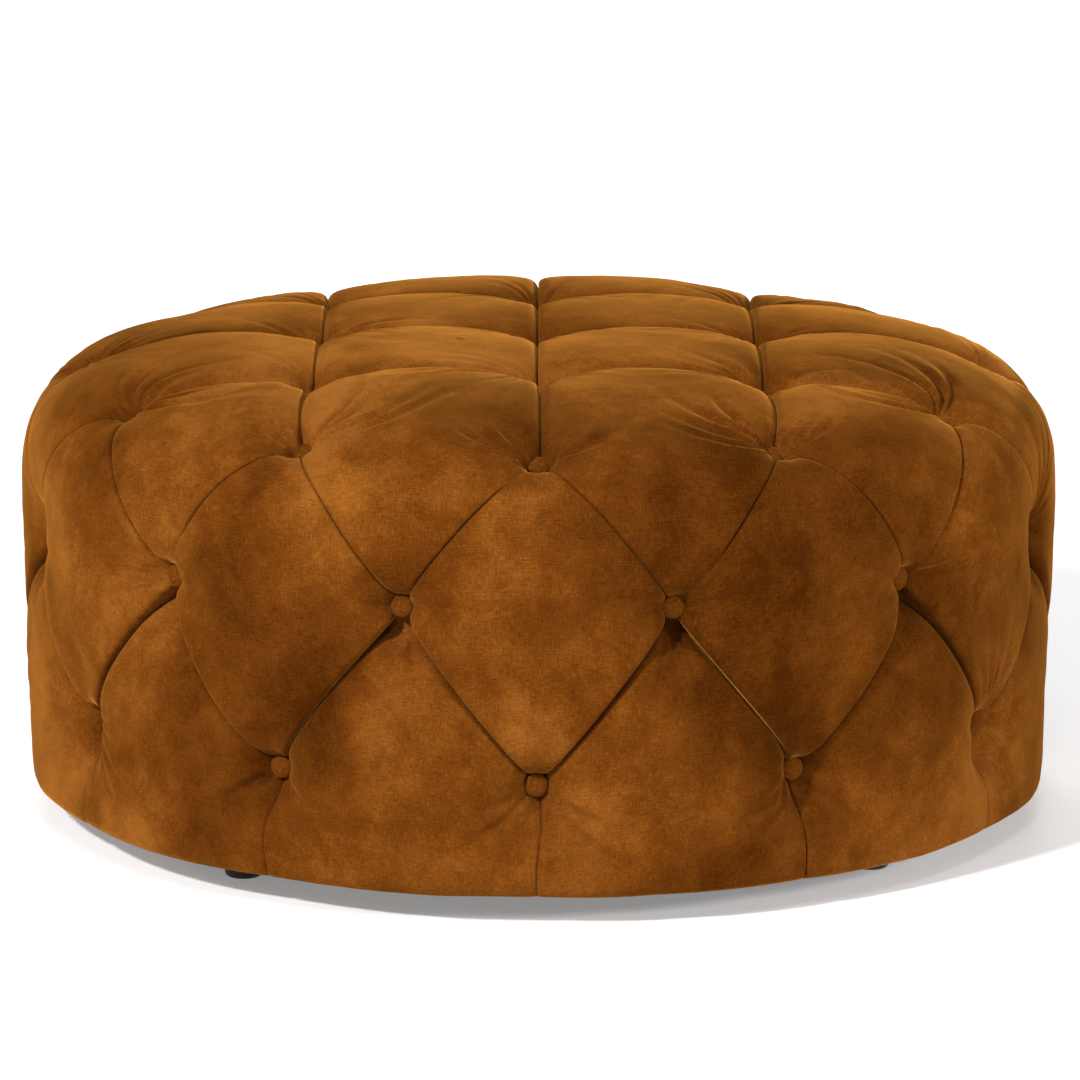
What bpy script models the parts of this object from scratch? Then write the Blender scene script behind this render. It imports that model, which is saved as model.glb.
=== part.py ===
"""A round, deep-buttoned ottoman: a plywood and fibreboard drum, foam, a tufted cover, buttons and feet.

Metres, +Z up. The origin is on the floor under the drum's centre, and the front faces -Y.
The tufts are at fixed angles from the front: the lower side row and the rim row every 30 degrees,
the upper side row half a step between them, and a 3 by 3 grid on the top.
"""

from math import cos, pi, radians, sin

import bmesh
import bpy
from mathutils import Vector

# Driving dimensions
RADIUS = 0.4826            # the widest line of the cover, at the crown of its side
HEIGHT = 0.457             # floor to the crown of the top
HEM_Z = 0.0278             # underside of the cover, above the floor
HEM_RADIUS = 0.467
WIDEST_Z = 0.25
RIM_SQUARENESS = 5.8       # superellipse power of the profile above the widest line
SIDE_FULLNESS = 3.0        # how late the side curves in, below the widest line
GAP = 0.0003               # between touching pieces

# Tufts
STEP = radians(30)         # between neighbours in a row
LOWER_Z = 0.123
UPPER_Z = 0.278
RIM_ANGLE = radians(45)    # the rim tufts sink along a line this far above level
GRID_PITCH = 0.2035        # between neighbours on the top
SIDE_SINK = 0.037          # from the full skin down to the floor of a tuft
RIM_SINK = 0.052
TOP_SINK = 0.044
WELL_RADIUS = 0.075        # of the hollow round a top tuft
PLEAT_SINK = 0.011         # of the pleat lines half way between two tufts
POCKET = 0.0145            # from a tuft's centre to the corners of its flat floor
TUFT_LINE_WIDTH = 0.010    # how near a skin corner lies to the line that its tuft sinks along
COLUMNS = 48               # of the skin mesh, which puts a column on every tuft and half way between
HEM_PLEAT_Z = 0.072        # heights of the skin's rows half way between rows of tufts
WAIST_Z = 0.2
SHOULDER_Z = 0.385
SHOULDER_ANGLE = radians(22)    # of the rim tufts above level, from the centre of the profile's upper curve
SHOULDER_TILT = 45         # degrees above level that those rows sink along, below and above the rim tufts
EDGE_RADIUS = 0.385
EDGE_TILT = 75
MARGIN_RADIUS = 0.335

# Cover and foam
COVER_THICKNESS = 0.002
FLAP_RADIUS = 0.434        # how far the hem is turned in under the base
FOAM_INSET = 0.0045        # foam surface below the cover's outer surface, which leaves room for wadding
JOINT_Z = 0.338            # where the side foam meets the top foam, at the outer surface

# Frame
WALL_RADIUS = 0.432
WALL_THICKNESS = 0.005
BASE_THICKNESS = 0.015
DECK_TOP_Z = 0.345
DECK_THICKNESS = 0.015
POST_SIDE = 0.050
POST_INSET = 0.014         # of a post's centre from its foot's, which keeps it clear of the wall's curve
DUST_COVER_RADIUS = 0.428
DUST_COVER_THICKNESS = 0.0008

# Feet
FOOT_RADIUS = 0.019
FOOT_CIRCLE = 0.398        # the feet's centres lie on this radius
FOOT_TURN = radians(49)    # of the first foot from the front
STUD_RADIUS = 0.004
STUD_HOLE_RADIUS = 0.0045
STUD_TOP_Z = 0.075
TREAD_RADIUS = FOOT_RADIUS * 0.90
TREAD_EDGE = 0.004         # rounding of the foot's lower edge
HOLE_SIDES = 8
HOLE_BEYOND = 0.01         # how far a cutter reaches past the face that it enters
STUD_CLEARANCE = 0.005     # between a stud's end and the end of its blind hole

# Buttons
BUTTON_RADIUS = 0.0095
BUTTON_BACK = 0.0015       # thickness of the flat back
BUTTON_DOME = 0.0050       # height of the dome above it
BUTTON_SEAT = BUTTON_RADIUS * 0.8

# Levels that follow from the ones above
DUST_COVER_TOP = HEM_Z - GAP
DUST_COVER_Z = DUST_COVER_TOP - DUST_COVER_THICKNESS
FOOT_TOP = DUST_COVER_Z - GAP
BASE_Z = HEM_Z + COVER_THICKNESS + GAP
BASE_TOP = BASE_Z + BASE_THICKNESS
DECK_Z = DECK_TOP_Z - DECK_THICKNESS
BOARD_RADIUS = WALL_RADIUS - WALL_THICKNESS - GAP


def material(name, colour, roughness):
    """A Principled material of that colour."""
    made = bpy.data.materials.new(name)
    made.use_nodes = True
    shader = made.node_tree.nodes["Principled BSDF"]
    shader.inputs["Base Color"].default_value = (*colour, 1)
    shader.inputs["Roughness"].default_value = roughness
    made.diffuse_color = (*colour, 1)
    return made


def add_object(name, shape, look, smooth_angle=None):
    """Turns a bmesh into an object with outward faces."""
    bmesh.ops.recalc_face_normals(shape, faces=shape.faces)
    mesh = bpy.data.meshes.new(name)
    shape.to_mesh(mesh)
    shape.free()
    mesh.materials.append(look)
    if smooth_angle:
        mesh.shade_smooth()
        mesh.set_sharp_from_angle(angle=smooth_angle)
    made = bpy.data.objects.new(name, mesh)
    bpy.context.scene.collection.objects.link(made)
    return made


def around(radius, angle, z):
    """The point at that radius and height, at an angle from the front (-Y) towards +X."""
    return Vector((radius * sin(angle), -radius * cos(angle), z))


def bridge(shape, ring_a, ring_b):
    """Faces between two closed rings of the same length, or between a ring and one point."""
    count = max(len(ring_a), len(ring_b))
    for i in range(count):
        j = (i + 1) % count
        if len(ring_b) == 1:
            shape.faces.new((ring_a[i], ring_a[j], ring_b[0]))
        elif len(ring_a) == 1:
            shape.faces.new((ring_a[0], ring_b[j], ring_b[i]))
        else:
            shape.faces.new((ring_a[i], ring_a[j], ring_b[j], ring_b[i]))


def turned(profile, sides):
    """A closed solid turned about Z. The profile is (radius, z) pairs that start and end on the axis."""
    shape = bmesh.new()
    rings = []
    for radius, z in profile:
        count = sides if radius > 0 else 1
        rings.append([shape.verts.new(around(radius, 2 * pi * i / count, z)) for i in range(count)])
    for lower, upper in zip(rings, rings[1:]):
        bridge(shape, lower, upper)
    return shape


# The skin: the tufted outer surface that the cover follows and the foam fills

def profile_radius(z):
    """Radius of the full, untufted skin at a height."""
    if z < WIDEST_Z:
        below = (WIDEST_Z - z) / (WIDEST_Z - HEM_Z)
        return RADIUS - (RADIUS - HEM_RADIUS) * below ** SIDE_FULLNESS
    above = (z - WIDEST_Z) / (HEIGHT - WIDEST_Z)
    return RADIUS * max(0, 1 - above ** RIM_SQUARENESS) ** (1 / RIM_SQUARENESS)


def profile_z(radius):
    """Height of the full skin at a radius on the top."""
    out = radius / RADIUS
    return WIDEST_Z + (HEIGHT - WIDEST_Z) * (1 - out ** RIM_SQUARENESS) ** (1 / RIM_SQUARENESS)


def rim_point(angle):
    """Radius and height where the full skin's superellipse passes an angle above level."""
    across, up = cos(angle) / RADIUS, sin(angle) / (HEIGHT - WIDEST_Z)
    reach = (across ** RIM_SQUARENESS + up ** RIM_SQUARENESS) ** (-1 / RIM_SQUARENESS)
    return reach * cos(angle), WIDEST_Z + reach * sin(angle)


def half_step(column):
    """Where a column lies in the tuft pattern: 0 on a rim tuft's line, 2 on an upper button's, 1 between."""
    return min(column % 4, 4 - column % 4)


SHOULDER = rim_point(SHOULDER_ANGLE)
CORNER_RADIUS = GRID_PITCH * 2 ** 0.5

# One row of the skin: radius, height, sink direction above level, and the sink at half steps 0, 1 and 2
ROWS = (
    (FLAP_RADIUS, HEM_Z, 0, (0, 0, 0)),
    (HEM_RADIUS, HEM_Z, 0, (PLEAT_SINK / 4, 0, 0)),
    (profile_radius(HEM_PLEAT_Z), HEM_PLEAT_Z, 0, (PLEAT_SINK, 0, 0)),
    (profile_radius(LOWER_Z), LOWER_Z, 0, (SIDE_SINK, PLEAT_SINK / 2, 0)),
    (profile_radius(WAIST_Z), WAIST_Z, 0, (0, PLEAT_SINK, 0)),
    (profile_radius(UPPER_Z), UPPER_Z, 0, (0, PLEAT_SINK / 2, SIDE_SINK)),
    (profile_radius(JOINT_Z), JOINT_Z, 0, (0, PLEAT_SINK, 0)),
    (profile_radius(SHOULDER_Z), SHOULDER_Z, SHOULDER_TILT, (PLEAT_SINK, 0, 0)),
    (*SHOULDER, SHOULDER_TILT, (RIM_SINK, PLEAT_SINK / 2, 0)),
    (EDGE_RADIUS, profile_z(EDGE_RADIUS), EDGE_TILT, (PLEAT_SINK, 0, 0)),
    (MARGIN_RADIUS, profile_z(MARGIN_RADIUS), 90, (PLEAT_SINK, 0, 0)),
    (CORNER_RADIUS, profile_z(CORNER_RADIUS), 90, (PLEAT_SINK, 0, 0)),
    (GRID_PITCH, profile_z(GRID_PITCH), 90, (0, 0, 0)),
    (GRID_PITCH / 2, profile_z(GRID_PITCH / 2), 90, (0, 0, 0)),
)


def tufts():
    """Every tuft as (row name, number, point on the full skin, outward direction, sink)."""
    found = []
    for i in range(12):
        found.append(("lower", i, profile_radius(LOWER_Z), LOWER_Z, i * STEP, 0, SIDE_SINK))
        found.append(("upper", i, profile_radius(UPPER_Z), UPPER_Z, (i + 0.5) * STEP, 0, SIDE_SINK))
        found.append(("rim", i, *SHOULDER, i * STEP, RIM_ANGLE, RIM_SINK))
    placed = []
    for row, i, radius, z, angle, tilt, sink in found:
        out = around(cos(tilt), angle, sin(tilt))
        placed.append((row, i + 1, around(radius, angle, z), out, sink))
    for i in range(9):
        x, y = (i % 3 - 1) * GRID_PITCH, (i // 3 - 1) * GRID_PITCH
        z = profile_z((x * x + y * y) ** 0.5)
        placed.append(("top", i + 1, Vector((x, y, z)), Vector((0, 0, 1)), TOP_SINK))
    return placed


def skin_rings(shape, inset, first, last):
    """Rings of vertices for rows first to last of the skin, moved in by inset."""
    rings = []
    for radius, z, tilt, sinks in ROWS[first:last]:
        ring = []
        for column in range(COLUMNS):
            angle = 2 * pi * column / COLUMNS
            sink = inset + sinks[half_step(column)]
            out = around(cos(radians(tilt)), angle, sin(radians(tilt)))
            ring.append(shape.verts.new(around(radius, angle, z) - out * sink))
        rings.append(ring)
    return rings


def join_rows(shape, rings, first):
    """Triangles between the skin's rings. Each quad is split on its deeper diagonal, so pleats stay sharp."""
    for row, (lower, upper) in enumerate(zip(rings, rings[1:]), start=first):
        sinks, sinks_above = ROWS[row][3], ROWS[row + 1][3]
        for i in range(COLUMNS):
            j = (i + 1) % COLUMNS
            here, there = half_step(i), half_step(j)
            if sinks[here] + sinks_above[there] >= sinks[there] + sinks_above[here]:
                shape.faces.new((lower[i], lower[j], upper[j]))
                shape.faces.new((lower[i], upper[j], upper[i]))
            else:
                shape.faces.new((lower[i], lower[j], upper[i]))
                shape.faces.new((lower[j], upper[j], upper[i]))


def dish(shape, centre, sink):
    """Sinks the mesh smoothly towards a tuft, within the well's radius."""
    for vertex in shape.verts:
        share = (vertex.co - centre).length / WELL_RADIUS
        if share < 1:
            vertex.co -= sink * (1 - share ** 2) ** 2


def sink_tufts(shape, inset):
    """Cuts the mesh's corner at each tuft back to a flat floor, and splits all faces in one fixed way,
    so that skins with different insets stay parallel."""
    for row, _, point, out, sink in tufts():
        floor = point - out * (sink + inset)
        if row == "top":
            dish(shape, point - out * inset, out * sink)
        near = [v for v in shape.verts if (v.co - point).length < 1.5 * sink + inset]
        line = [v for v in near if (v.co - point).cross(out).length < TUFT_LINE_WIDTH]
        if not line:
            continue
        corner = min(line, key=lambda v: (v.co - point).length)
        corner.co = floor
        cut = bmesh.ops.bevel(shape, geom=[corner], offset=POCKET, affect="VERTICES", segments=1)
        for vertex in cut["verts"]:
            sideways = (vertex.co - floor) - out * (vertex.co - floor).dot(out)
            vertex.co = floor + sideways.normalized() * POCKET
    bmesh.ops.triangulate(shape, faces=shape.faces, quad_method="FIXED")


def close_top(shape, ring, inset):
    """Joins the innermost ring of the skin to the centre of the top."""
    centre = shape.verts.new((0, 0, HEIGHT - inset))
    bridge(shape, ring, [centre])


def make_cover(velvet):
    """The tufted velvet skin, open underneath, with its hem turned in under the base."""
    shape = bmesh.new()
    rings = skin_rings(shape, 0, 0, len(ROWS))
    join_rows(shape, rings, 0)
    close_top(shape, rings[-1], 0)
    sink_tufts(shape, 0)
    cover = add_object("cover", shape, velvet, radians(50))
    thick = cover.modifiers.new("thickness", "SOLIDIFY")
    thick.thickness = COVER_THICKNESS
    thick.offset = -1


def make_side_foam(foam):
    """The wrap of foam and wadding round the wall."""
    shape = bmesh.new()
    joint_row = [row[1] for row in ROWS].index(JOINT_Z)
    low, high = BASE_Z, DECK_TOP_Z
    inner = [
        [shape.verts.new(around(WALL_RADIUS + GAP, 2 * pi * i / COLUMNS, z)) for i in range(COLUMNS)]
        for z in (high, low)
    ]
    outer = skin_rings(shape, FOAM_INSET, 1, joint_row + 1)
    for vertex in outer[0]:
        vertex.co.z = low
    for ring_a, ring_b in ((inner[0], inner[1]), (inner[1], outer[0]), (outer[-1], inner[0])):
        bridge(shape, ring_a, ring_b)
    join_rows(shape, outer, 1)
    sink_tufts(shape, FOAM_INSET)
    add_object("side_foam", shape, foam, radians(50))


def make_top_foam(foam):
    """The pad of foam and wadding on the deck, which reaches out over the side foam."""
    shape = bmesh.new()
    joint_row = [row[1] for row in ROWS].index(JOINT_Z)
    low = DECK_TOP_Z + GAP
    under = [
        [shape.verts.new((0, 0, low))],
        [shape.verts.new(around(WALL_RADIUS + GAP, 2 * pi * i / COLUMNS, low)) for i in range(COLUMNS)],
    ]
    outer = skin_rings(shape, FOAM_INSET, joint_row, len(ROWS))
    for vertex in outer[0]:
        vertex.co.z += GAP
    bridge(shape, *under)
    bridge(shape, outer[0], under[1])
    join_rows(shape, outer, joint_row)
    close_top(shape, outer[-1], FOAM_INSET)
    sink_tufts(shape, FOAM_INSET)
    add_object("top_foam", shape, foam, radians(50))


# The frame

def feet_angles():
    return [FOOT_TURN + i * pi / 2 for i in range(4)]


def drill(board, angles, low, high):
    """Cuts a stud hole through a board or block at each of those angles, between two heights."""
    for angle in angles:
        hole = turned(((0, low), (STUD_HOLE_RADIUS, low), (STUD_HOLE_RADIUS, high), (0, high)), HOLE_SIDES)
        cutter = add_object(f"{board.name}_hole", hole, board.data.materials[0])
        cutter.location = around(FOOT_CIRCLE, angle, 0)
        cutter.hide_render = True
        cutter.display_type = "WIRE"
        cut = board.modifiers.new("stud hole", "BOOLEAN")
        cut.operation = "DIFFERENCE"
        cut.object = cutter


def make_disc(name, radius, low, high, look):
    shape = turned(((0, low), (radius, low), (radius, high), (0, high)), COLUMNS)
    return add_object(name, shape, look, radians(30))


def make_side_wall(board):
    """Fibreboard bent round the edges of the base panel and the deck."""
    shape = bmesh.new()
    corners = (
        (WALL_RADIUS, BASE_Z),
        (WALL_RADIUS, DECK_TOP_Z),
        (WALL_RADIUS - WALL_THICKNESS, DECK_TOP_Z),
        (WALL_RADIUS - WALL_THICKNESS, BASE_Z),
    )
    rings = [
        [shape.verts.new(around(radius, 2 * pi * i / COLUMNS, z)) for i in range(COLUMNS)]
        for radius, z in corners
    ]
    for ring_a, ring_b in zip(rings, rings[1:] + rings[:1]):
        bridge(shape, ring_a, ring_b)
    add_object("side_wall", shape, board, radians(30))


def make_post(number, angle, wood):
    """A square block between the base and the deck, with a blind hole for the foot's stud."""
    shape = bmesh.new()
    low, high = BASE_TOP + GAP, DECK_Z - GAP
    bmesh.ops.create_cube(shape, size=1)
    bmesh.ops.scale(shape, vec=(POST_SIDE, POST_SIDE, high - low), verts=shape.verts)
    post = add_object(f"post_{number}", shape, wood)
    post.location = around(FOOT_CIRCLE - POST_INSET, angle, (low + high) / 2)
    post.rotation_euler.z = angle
    drill(post, [angle], low - HOLE_BEYOND, STUD_TOP_Z + STUD_CLEARANCE)


def make_foot(number, angle, plastic):
    """A round glide with a rounded lower edge and a moulded stud that screws up into the post."""
    flat = TREAD_RADIUS - TREAD_EDGE
    profile = [(0, 0), (flat, 0)]
    for i in range(1, 4):
        turn = i * pi / 6
        profile.append((flat + TREAD_EDGE * sin(turn), TREAD_EDGE * (1 - cos(turn))))
    profile += [(FOOT_RADIUS, FOOT_TOP), (STUD_RADIUS, FOOT_TOP), (STUD_RADIUS, STUD_TOP_Z), (0, STUD_TOP_Z)]
    foot = add_object(f"foot_{number}", turned(profile, 20), plastic, radians(35))
    foot.location = around(FOOT_CIRCLE, angle, 0)


# The buttons

def make_button(row, number, point, out, sink, velvet):
    """A covered button on the floor of its tuft: a flat back and a shallow dome."""
    profile = [(0, 0), (BUTTON_SEAT, 0), (BUTTON_RADIUS, BUTTON_BACK)]
    for i in range(1, 3):
        turn = i * pi / 6
        profile.append((BUTTON_RADIUS * cos(turn), BUTTON_BACK + BUTTON_DOME * sin(turn)))
    profile.append((0, BUTTON_BACK + BUTTON_DOME))
    button = add_object(f"button_{row}_{number:02d}", turned(profile, 8), velvet, radians(50))
    button.location = point - out * (sink - GAP)
    button.rotation_mode = "QUATERNION"
    button.rotation_quaternion = out.to_track_quat("Z", "Y")


def build():
    for old in list(bpy.data.objects):
        bpy.data.objects.remove(old)
    velvet = material("velvet", (0.42, 0.15, 0.03), 0.8)
    button_velvet = material("button_velvet", (0.40, 0.14, 0.03), 0.8)
    foam = material("foam", (0.85, 0.80, 0.62), 0.9)
    plywood = material("plywood", (0.62, 0.45, 0.27), 0.6)
    fibreboard = material("fibreboard", (0.45, 0.33, 0.22), 0.8)
    pine = material("pine", (0.70, 0.53, 0.32), 0.6)
    lining = material("lining", (0.02, 0.02, 0.02), 0.95)
    plastic = material("foot_plastic", (0.012, 0.012, 0.012), 0.35)

    make_cover(velvet)
    make_side_foam(foam)
    make_top_foam(foam)
    for row, number, point, out, sink in tufts():
        make_button(row, number, point, out, sink, button_velvet)

    base = make_disc("base_panel", BOARD_RADIUS, BASE_Z, BASE_TOP, plywood)
    drill(base, feet_angles(), BASE_Z - HOLE_BEYOND, BASE_TOP + HOLE_BEYOND)
    make_disc("top_deck", BOARD_RADIUS, DECK_Z, DECK_TOP_Z, plywood)
    make_side_wall(fibreboard)
    dust_cover = make_disc("dust_cover", DUST_COVER_RADIUS, DUST_COVER_Z, DUST_COVER_TOP, lining)
    drill(dust_cover, feet_angles(), DUST_COVER_Z - HOLE_BEYOND, DUST_COVER_TOP + HOLE_BEYOND)
    for number, angle in enumerate(feet_angles(), start=1):
        make_post(number, angle, pine)
        make_foot(number, angle, plastic)


build()
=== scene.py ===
"""The looks of a round, deep-buttoned velvet ottoman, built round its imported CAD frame.

The cover is laid out as flat cells between the tufts. Each cell is a grid of points on the full drum, which
sinks to its tufts and pleats, laps over its neighbours and wrinkles, as pulled velvet over foam does.
Angles are from the front (-Y) towards +X.
"""

from math import cos, pi, radians, sin
from random import Random

import bmesh
import bpy
import numpy as np
from mathutils import Matrix, Vector, noise
from mathutils.geometry import delaunay_2d_cdt


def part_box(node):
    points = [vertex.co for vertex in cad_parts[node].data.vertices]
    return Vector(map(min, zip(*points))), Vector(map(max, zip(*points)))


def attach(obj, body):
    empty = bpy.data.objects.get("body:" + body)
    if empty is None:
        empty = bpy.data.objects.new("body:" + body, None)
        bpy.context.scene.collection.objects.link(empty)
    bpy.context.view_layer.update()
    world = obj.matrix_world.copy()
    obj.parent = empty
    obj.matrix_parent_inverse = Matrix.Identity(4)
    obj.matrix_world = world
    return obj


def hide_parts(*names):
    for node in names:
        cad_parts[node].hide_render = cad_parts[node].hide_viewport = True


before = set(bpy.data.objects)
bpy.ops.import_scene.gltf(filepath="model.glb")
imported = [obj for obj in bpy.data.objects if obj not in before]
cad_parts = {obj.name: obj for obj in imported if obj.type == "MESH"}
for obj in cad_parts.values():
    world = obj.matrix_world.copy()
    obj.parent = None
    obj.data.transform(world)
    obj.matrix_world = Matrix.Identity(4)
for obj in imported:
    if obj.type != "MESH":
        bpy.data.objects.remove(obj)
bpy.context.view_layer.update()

# The drum, as the CAD has it
COVER_LOW, COVER_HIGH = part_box("cover")
RADIUS, HEIGHT, HEM_Z = COVER_HIGH.x, COVER_HIGH.z, COVER_LOW.z
HEM_RADIUS = 0.467
WIDEST_Z = 0.25
RIM_SQUARENESS = 5.8
STUFFED_SQUARENESS = 4.1   # of the stuffed cover between the tufts, which is rounder
SIDE_FULLNESS = 3.0
HEM_ROUND = 0.009          # radius of the rolled lower edge
FLAP_RADIUS = 0.434

# The tufts
LOWER_Z = 0.123
UPPER_Z = 0.278
RIM_DIRECTION = radians(22)
RIM_TILT = radians(45)
GRID_PITCH = 0.2035
SIDE_SINK = 0.037
RIM_SINK = 0.052
TOP_SINK = 0.044
BUTTON_FLOOR = 0.0085      # radius of the flat spot that a button sits on

BUTTON_RADIUS = 0.0106
BUTTON_HEIGHT = 0.0065
BUTTON_LIFT = 0.0014       # how far it stands out of the velvet that it is drawn into

# Inside
BASE_Z = 0.0285
DECK_Z = 0.3455
WALL_OUTSIDE = 0.4325
STUD_HOLE_RADIUS = 0.0045

# The meshes
CELL_STEPS = 40            # from a cell's corner to the middle of its edge
CELL_GRADING = 1.7         # how much closer the steps lie near the pleats
FOAM_STEPS = 7
FOAM_SIDES = 96            # of the turned regions that part the foams
FOAM_INSET = 0.0075        # room between foam and velvet, for the wadding and the folds
FLAP_STEPS = 9
COVER_TRIANGLES = 195000
EDGE_POINTS = 33
BUTTON_SIDES = 40
FOOT_SIDES = 64
LINING_RINGS = 12
LINING_SIDES = 72
LINING_RIPPLE = 0.0003
MILLIMETRE = 0.001
WELD = 2e-5

# Camera and lights: name, place, width and power
CAMERA_PLACE = (0, -4.880, 1.2876)
CAMERA_AIM = (0.002, 0, 0.243)
CAMERA_ROLL = 0.264
LENS, SENSOR = 177.1, 36
LIGHT_AIM = (0, 0, 0.25)
LIGHTS = [
    ("key", (-2.1, -2.8, 2.5), 0.32, 180),
    ("left", (-3.2, -0.5, 1.3), 0.6, 8),
    ("right", (2.6, -2.2, 1.3), 0.6, 66),
    ("front", (0.2, -3.0, 3.4), 0.8, 26),
    ("back", (-0.8, 3.2, 1.9), 1.2, 11),
]
SWEEP_PLACE, SWEEP_AIM, SWEEP_SIZE, SWEEP_POWER = (0, 7.5, 4.5), (0, 7.5, 0), 6.0, 560
WORLD_STRENGTH = 0.22
FLOOR_HALF_SIZE = 30


# ---------------------------------------------------------------- the full drum

def full_outline():
    """The untufted outline from the top's centre out, down and under: even lengths along it, and the radius,
    height and outward direction at each."""
    turn = np.linspace(pi / 2, 0, 6000)
    radius = RADIUS * np.cos(turn) ** (2 / RIM_SQUARENESS)
    height = WIDEST_Z + (HEIGHT - WIDEST_Z) * np.sin(turn) ** (2 / RIM_SQUARENESS)
    side_z = np.linspace(WIDEST_Z, HEM_Z + HEM_ROUND, 400)[1:]
    below = (WIDEST_Z - side_z) / (WIDEST_Z - HEM_Z)
    side_radius = RADIUS - (RADIUS - HEM_RADIUS) * below ** SIDE_FULLNESS
    roll = np.linspace(0, pi / 2, 40)[1:]
    roll_radius = side_radius[-1] - HEM_ROUND + HEM_ROUND * np.cos(roll)
    roll_z = HEM_Z + HEM_ROUND - HEM_ROUND * np.sin(roll)
    radius = np.concatenate([[0], radius[1:], side_radius, roll_radius, [FLAP_RADIUS]])
    height = np.concatenate([[HEIGHT], height[1:], side_z, roll_z, [HEM_Z]])
    length = np.concatenate([[0], np.cumsum(np.hypot(np.diff(radius), np.diff(height)))])
    even = np.arange(0, length[-1], MILLIMETRE)
    radius, height = np.interp(even, length, radius), np.interp(even, length, height)
    across, up = -np.gradient(height), np.gradient(radius)
    soft = np.ones(7) / 7
    across = np.convolve(np.pad(across, 3, mode="edge"), soft, mode="valid")
    up = np.convolve(np.pad(up, 3, mode="edge"), soft, mode="valid")
    size = np.hypot(across, up)
    return even, radius, height, across / size, up / size


LENGTH, OUT_RADIUS, OUT_Z, OUT_ACROSS, OUT_UP = full_outline()


def rim_sag():
    """How far inside the outline the stuffed cover's rounder rim lies, at each length along it."""
    low, high = np.zeros(len(LENGTH)), np.full(len(LENGTH), 0.08)
    for _ in range(30):
        middle = (low + high) / 2
        radius = np.clip(OUT_RADIUS - OUT_ACROSS * middle, 0, None) / RADIUS
        up = np.clip(OUT_Z - OUT_UP * middle - WIDEST_Z, 0, None) / (HEIGHT - WIDEST_Z)
        outside = radius ** STUFFED_SQUARENESS + up ** STUFFED_SQUARENESS > 1
        low = np.where(outside, middle, low)
        high = np.where(outside, high, middle)
    return np.where(OUT_Z > WIDEST_Z, low, 0)


SAG = rim_sag()


def length_at(radius=None, z=None):
    """How far along the outline it passes a radius on the top, or a height on the side."""
    side = OUT_RADIUS > 0.43
    if z is None:
        return float(LENGTH[np.argmin(np.abs(OUT_RADIUS - radius) + (OUT_Z < WIDEST_Z))])
    return float(LENGTH[np.argmin(np.abs(OUT_Z - z) + ~side)])


def on_drum(flat):
    """Places on the full drum, and outward directions, of points in the flat layout. A flat point's distance
    from the centre is its length along the outline."""
    length = np.hypot(flat[:, 0], flat[:, 1])
    away = flat / np.maximum(length, 1e-9)[:, None]
    radius, height = np.interp(length, LENGTH, OUT_RADIUS), np.interp(length, LENGTH, OUT_Z)
    across, up = np.interp(length, LENGTH, OUT_ACROSS), np.interp(length, LENGTH, OUT_UP)
    place = np.column_stack([away * radius[:, None], height])
    out = np.column_stack([away * across[:, None], up])
    return place, out / np.linalg.norm(out, axis=1)[:, None]


def polar(length, degrees):
    """The flat point that lies that far from the centre, at that angle from the front."""
    angle = radians(degrees)
    return np.array([length * sin(angle), -length * cos(angle)])


# ---------------------------------------------------------------- tufts, pleats and cells

RIM_REACH = 1 / ((cos(RIM_DIRECTION) / RADIUS) ** RIM_SQUARENESS
                 + (sin(RIM_DIRECTION) / (HEIGHT - WIDEST_Z)) ** RIM_SQUARENESS) ** (1 / RIM_SQUARENESS)
RIM_LENGTH = length_at(radius=RIM_REACH * cos(RIM_DIRECTION))
UPPER_LENGTH = length_at(z=UPPER_Z)
LOWER_LENGTH = length_at(z=LOWER_Z)
HEM_LENGTH = length_at(z=HEM_Z + HEM_ROUND)
END_LENGTH = float(LENGTH[-1])


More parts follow.
